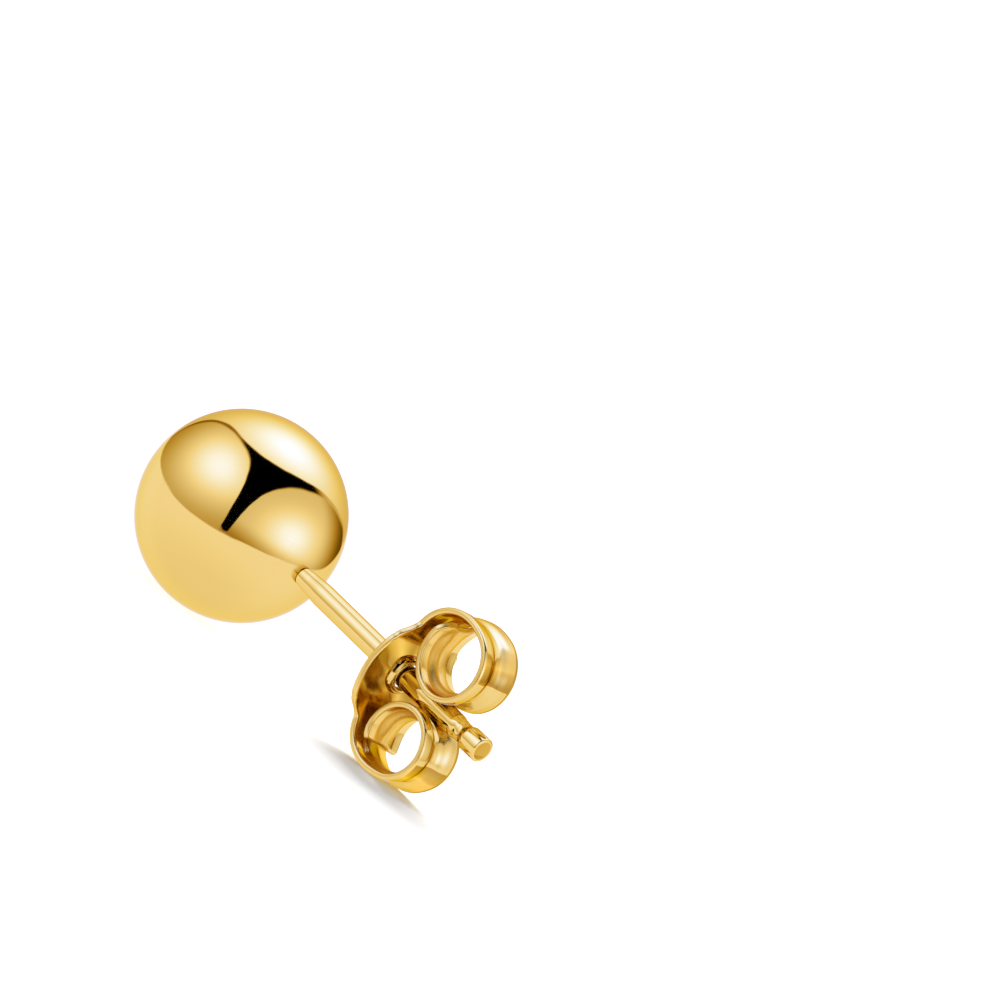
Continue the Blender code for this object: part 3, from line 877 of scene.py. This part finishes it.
# The floor and its light: an even part from all round, and one behind the earring that only the back
# shades, with its softness in degrees and where it falls for each metre down. The camera sees SEEN_WHITE
# past the floor.
FLOOR_WIDTH = 12.0
FLOOR_WHITE = (0.9, 0.9, 0.9, 1.0)
EVEN_LIGHT = 0.62
BEHIND_LIGHT = 4.0
BEHIND_SOFTNESS = 52.0
BEHIND_FALLS = (0.78, -0.9)
SEEN_WHITE = 1.2

# The glow in the middle of each panel. Columns: its azimuth and elevation, its spread in both, its level,
# and the panel's even level.
LEFT_GLOW = ((-23, 29), (62, 38), 1.12, 0.3)
RIGHT_GLOW = ((99, 15), (38, 24), 0.72, 0.7)

# The glow overhead: its azimuth and elevation, its spread all round, its level, and the even level.
TOP_GLOW = ((-140, 73), 40.0, 0.85, 0.72)

# Where a level changes. Columns: from this angle, to this angle, the level before and the level after.
RIGHT_DIMS_BELOW = (-22.0, 5.0, 0.3, 1.0)
RIGHT_DIMS_BEYOND = (138.0, 184.0, 1.0, 0.14)
GAP_AT_LEFT = (-70.0, -44.0, 0.16, 0.0)
GAP_AT_RIGHT = (138.0, 159.0, 0.0, 0.6)
GAP_ENDS = (-19.5, -17.5, 0.3, 0.0)

# The table's level straight below, and how much it rises between two elevations.
TABLE_LEVEL = 0.9
TABLE_RISES = 0.1
TABLE_FADES = (-75.0, -20.0)

# The table is brighter behind the earring: which way, between which cosines from it, and by how much.
BRIGHTER_TOWARDS = (-130, 0)
BRIGHTER_WITHIN = (0.3, 1.0)
BRIGHTER_BY = 0.12

# The dark gap's rounded lower end: its azimuth, half its width, and how far its sides end above its middle.
GAP_AZIMUTH = 31.0
GAP_HALF_WIDTH = 5.0
GAP_ROUNDING = 2.5

# How soft the edges are, in degrees each way.
BAND_SOFTNESS = 1.2
PANEL_SOFTNESS = 1.6
TABLE_SOFTNESS = 0.8

# The tent's outlines as the top edge of each part. Columns: azimuth, elevation.
AZIMUTHS = (-165.0, 195.0)
LEFT_PANEL = (
    (-165, -60),
    (-128, -22),
    (-117, 1),
    (-108, 13),
    (-100, 24),
    (-85, 38),
    (-69, 48),
    (-47, 55),
    (-23, 57),
    (-4, 53),
    (12, 40),
    (19, 26),
    (23, 6),
    (26, -17),
    (29, -60),
    (195, -60),
)
RIGHT_PANEL = (
    (-165, -60),
    (32, -60),
    (35, -17),
    (36, 6),
    (39, 25),
    (47, 42),
    (64, 54),
    (93, 60),
    (127, 56),
    (149, 47),
    (163, 35),
    (175, 22),
    (187, 9),
    (195, -20),
)
DARK_BAND = (
    (-165, -60),
    (-128, -18),
    (-118, 4),
    (-100, 28),
    (-85, 42),
    (-64, 53),
    (-38, 63),
    (-12, 69.5),
    (16, 74),
    (60, 75.5),
    (103, 72),
    (130, 64),
    (148, 54.5),
    (165, 37.5),
    (177, 23),
    (188, 10),
    (195, -18),
)

TABLE = (
    (-165, 4),
    (-140, 1),
    (-116, -1),
    (-95, -5),
    (-64, -13),
    (-32, -21),
    (2, -23.5),
    (34, -21),
    (57, -16),
    (80, -12),
    (103, -7.5),
    (123, -5),
    (162, -0.7),
    (183, 3),
    (195, 4),
)


def add_world():
    """The light tent: two tall soft panels and a wide one overhead, with dark gaps, and the pale table below.

    Each part lies below its outline, an elevation for each azimuth. What gold mirrors is the tent; the
    floor is lit evenly from all round, and the camera sees plain white past it.
    """
    world = bpy.data.worlds.new("light_tent")
    bpy.context.scene.world = world
    world.use_nodes = True
    world.cycles.sampling_method = "NONE"
    tree = world.node_tree
    tree.nodes.clear()
    nodes = Nodes(tree)
    way = nodes.vector("NORMALIZE", nodes.add("ShaderNodeTexCoord").outputs["Generated"])
    split = nodes.add("ShaderNodeSeparateXYZ")
    nodes.put(way, split.inputs[0])
    x, y, z = split.outputs
    azimuth = nodes.math("DEGREES", nodes.math("ARCTAN2", x, nodes.math("MULTIPLY", y, -1.0)))
    azimuth = nodes.math("WRAP", azimuth, AZIMUTHS[1], AZIMUTHS[0])
    elevation = nodes.math("DEGREES", nodes.math("ARCSINE", z))

    def away(value, centre, size):
        return nodes.math("DIVIDE", nodes.math("SUBTRACT", value, centre), size)

    def bell(centre, size):
        """e to the minus squared distance from a centre, in azimuth and elevation."""
        a = away(azimuth, centre[0], size[0])
        e = away(elevation, centre[1], size[1])
        squares = nodes.math("MULTIPLY_ADD", a, a, nodes.math("MULTIPLY", e, e))
        return nodes.math("EXPONENT", nodes.math("MULTIPLY", squares, -1.0))

    def angle_from(towards):
        """The angle from an azimuth and elevation, in degrees."""
        along = nodes.vector("DOT_PRODUCT", way, direction(*towards), out="Value")
        return nodes.math("DEGREES", nodes.math("ARCCOSINE", along))

    def above(outline, soft):
        """0 below an outline and 1 above it, over a soft edge of so many degrees each way."""
        over = nodes.math("SUBTRACT", elevation, nodes.curve(azimuth, outline))
        return nodes.smooth(over, -soft, soft)

    centre, spread, glow, even = LEFT_GLOW
    left = nodes.math("MULTIPLY_ADD", bell(centre, spread), glow, even)
    centre, spread, glow, even = RIGHT_GLOW
    right = nodes.math("MULTIPLY_ADD", bell(centre, spread), glow, even)
    right = nodes.math("MULTIPLY", right, nodes.smooth(elevation, *RIGHT_DIMS_BELOW))
    right = nodes.math("MULTIPLY", right, nodes.smooth(azimuth, *RIGHT_DIMS_BEYOND))
    centre, spread, glow, even = TOP_GLOW
    from_top = away(angle_from(centre), 0.0, spread)
    top = nodes.math("EXPONENT", nodes.math("MULTIPLY", nodes.math("MULTIPLY", from_top, from_top), -1.0))
    top = nodes.math("MULTIPLY_ADD", top, glow, even)

    gap = nodes.math("ADD", nodes.smooth(azimuth, *GAP_AT_LEFT), nodes.smooth(azimuth, *GAP_AT_RIGHT))
    from_gap = away(azimuth, GAP_AZIMUTH, GAP_HALF_WIDTH)
    rounding = nodes.math("MINIMUM", nodes.math("MULTIPLY", from_gap, from_gap), 1.0)
    gap_end = nodes.math("MULTIPLY_ADD", rounding, -GAP_ROUNDING, elevation)
    gap = nodes.math("MAXIMUM", gap, nodes.smooth(gap_end, *GAP_ENDS))
    level = nodes.mix(above(DARK_BAND, BAND_SOFTNESS), gap, top)
    level = nodes.mix(above(LEFT_PANEL, PANEL_SOFTNESS), left, level)
    level = nodes.mix(above(RIGHT_PANEL, PANEL_SOFTNESS), right, level)

    table = nodes.math("MULTIPLY_ADD", nodes.smooth(elevation, *TABLE_FADES), TABLE_RISES, TABLE_LEVEL)
    behind = nodes.vector("DOT_PRODUCT", way, direction(*BRIGHTER_TOWARDS), out="Value")
    table = nodes.math("MULTIPLY_ADD", nodes.smooth(behind, *BRIGHTER_WITHIN), BRIGHTER_BY, table)
    level = nodes.mix(above(TABLE, TABLE_SOFTNESS), table, level)
    tent = nodes.ramp(nodes.math("DIVIDE", level, TENT_LEVEL), TENT_COLOURS)

    mirrored = nodes.add("ShaderNodeBackground")
    nodes.put(tent, mirrored.inputs["Color"])
    plain = nodes.add("ShaderNodeBackground")
    plain.inputs["Color"].default_value = (1.0, 1.0, 1.0, 1.0)
    path = nodes.add("ShaderNodeLightPath")
    plain_level = nodes.mix(path.outputs["Is Camera Ray"], EVEN_LIGHT, SEEN_WHITE)
    nodes.put(plain_level, plain.inputs["Strength"])
    either = nodes.add("ShaderNodeMixShader")
    nodes.put(path.outputs["Is Glossy Ray"], either.inputs[0])
    nodes.put(plain.outputs[0], either.inputs[1])
    nodes.put(mirrored.outputs[0], either.inputs[2])
    output = nodes.add("ShaderNodeOutputWorld")
    nodes.put(either.outputs[0], output.inputs["Surface"])


def add_floor():
    """A wide white surface. Gold mirrors the tent's own table instead of it."""
    half = FLOOR_WIDTH / 2
    corners = [(-half, -half, 0), (half, -half, 0), (half, half, 0), (-half, half, 0)]
    mesh = bpy.data.meshes.new("floor")
    mesh.from_pydata(corners, [], [(0, 1, 2, 3)])
    material = bpy.data.materials.new("white_surface")
    material.use_nodes = True
    shader = material.node_tree.nodes["Principled BSDF"]
    shader.inputs["Base Color"].default_value = FLOOR_WHITE
    shader.inputs["Roughness"].default_value = 1.0
    shader.inputs["Specular IOR Level"].default_value = 0.0
    mesh.materials.append(material)
    floor = bpy.data.objects.new("floor", mesh)
    bpy.context.scene.collection.objects.link(floor)
    floor.visible_glossy = False
    return floor


def group_of(name, piece):
    """A collection that holds only this piece, for the light's own lists."""
    group = bpy.data.collections.new(name)
    group.objects.link(piece)
    return group


def add_light_behind(floor, back):
    """A wide soft light high behind the earring. It lights only the floor, and only the back shades it."""
    data = bpy.data.lights.new("behind", "SUN")
    data.energy = BEHIND_LIGHT
    data.angle = math.radians(BEHIND_SOFTNESS)
    light = bpy.data.objects.new("behind", data)
    towards = Vector((*BEHIND_FALLS, -1.0))
    light.rotation_euler = towards.to_track_quat("-Z", "Y").to_euler()
    bpy.context.scene.collection.objects.link(light)
    light.light_linking.receiver_collection = group_of("lit_from_behind", floor)
    light.light_linking.blocker_collection = group_of("shading", back)


# The camera looks past the ball's centre from VIEW_DISTANCE, moved aside so that the ball sits at the left.
VIEW_RIGHT = (0.61305398, 0.5149067, 0.59919604)
VIEW_UP = (-0.52270157, -0.3043586, 0.79633467)
VIEW_BACK = (0.59240851, -0.80139686, 0.0825543)
VIEW_DISTANCE = 0.420
VIEW_ASIDE = 0.008396
VIEW_RAISED = 0.00052
LENS = 465.5


def add_camera():
    """The photograph's view through a long lens, along the opposite of VIEW_BACK."""
    right, up, back = (Vector(v).normalized() for v in (VIEW_RIGHT, VIEW_UP, VIEW_BACK))
    place = Vector(BALL_CENTRE) + back * VIEW_DISTANCE + right * VIEW_ASIDE + up * VIEW_RAISED
    data = bpy.data.cameras.new("view")
    data.lens = LENS
    data.sensor_width = 36.0
    data.clip_start = 0.001
    camera = bpy.data.objects.new("view", data)
    camera.matrix_world = Matrix.Translation(place) @ Matrix([right, up, back]).transposed().to_4x4()
    bpy.context.scene.collection.objects.link(camera)
    bpy.context.scene.camera = camera


def turned_uv(piece, points):
    """A turned piece's UV map: round the axis, and along it in millimetres."""
    set_uv(piece.data, np.arctan2(points[:, 2], points[:, 1]) * LINES_ROUND, points[:, 0] * 1000)


def add_ball():
    """The ball. The other pieces don't mirror it."""
    radius = BALL_DIAMETER / 2
    points, faces = turned_mesh(ball_profile(), -radius, radius, ROUND_SIDES)
    gold = gold_material("polished_gold_ball")
    ball = add_piece("ball", points, faces, gold, "stud", "ball_stud")
    turned_uv(ball, points)
    ball.visible_glossy = False


def add_post():
    """The post, whose first point lies inside the ball and whose last is the middle of its dished end."""
    first = ball_to_root() - ROOT_INSIDE_BALL
    last = BALL_DIAMETER / 2 + POST_LENGTH - END_DISH
    points, faces = turned_mesh(post_profile(), first, last, ROUND_SIDES)
    points = crimped(points)
    gold = gold_material("polished_gold_post")
    post = add_piece("post", points, faces, gold, "stud", "ball_stud")
    turned_uv(post, points)
    # Painted shade in the root's seam and on the end face.
    set_value(post.data, "painted_shade", post_painted_shade(points))


def add_back():
    """The butterfly back. Each point's finish is its face's: the inner grid comes after the outer one."""
    outer, inner, along, turn, width_at, from_edge = strip_faces()
    points, faces, used = sheet_mesh(outer, inner, kept_cells())
    points = points + np.array([BALL_DIAMETER / 2 + PLATE_FROM_BALL, 0.0, 0.0])
    gold = gold_material("polished_gold_back")
    back = add_piece("butterfly", points, faces.tolist(), gold, "back", "butterfly_back")
    place = used % along.size
    travelled = np.abs(along) + np.radians(turn + 90) * SCROLL_RADIUS
    signed = np.where(along >= 0, travelled, -travelled)
    set_uv(back.data, width_at.ravel()[place] * 1000, signed.ravel()[place] * 1000)
    # Painted shade, satin roughness and painted sheen for each point, taken from its own face.
    finish_and_painted_light = {
        "painted_shade": strip_painted_shade(along, turn, width_at, from_edge),
        "satin": strip_satin(turn, width_at, from_edge),
        "painted_sheen": strip_painted_sheen(turn, width_at),
    }
    for name, (on_inner, on_outer) in finish_and_painted_light.items():
        values = np.where(used >= along.size, on_inner.ravel()[place], on_outer.ravel()[place])
        set_value(back.data, name, values)
    return back


def main():
    add_ball()
    add_post()
    back = add_back()
    add_world()
    add_light_behind(add_floor(), back)
    add_camera()
    bpy.context.scene.view_settings.view_transform = "Standard"
    bpy.context.scene.view_settings.look = "None"


main()
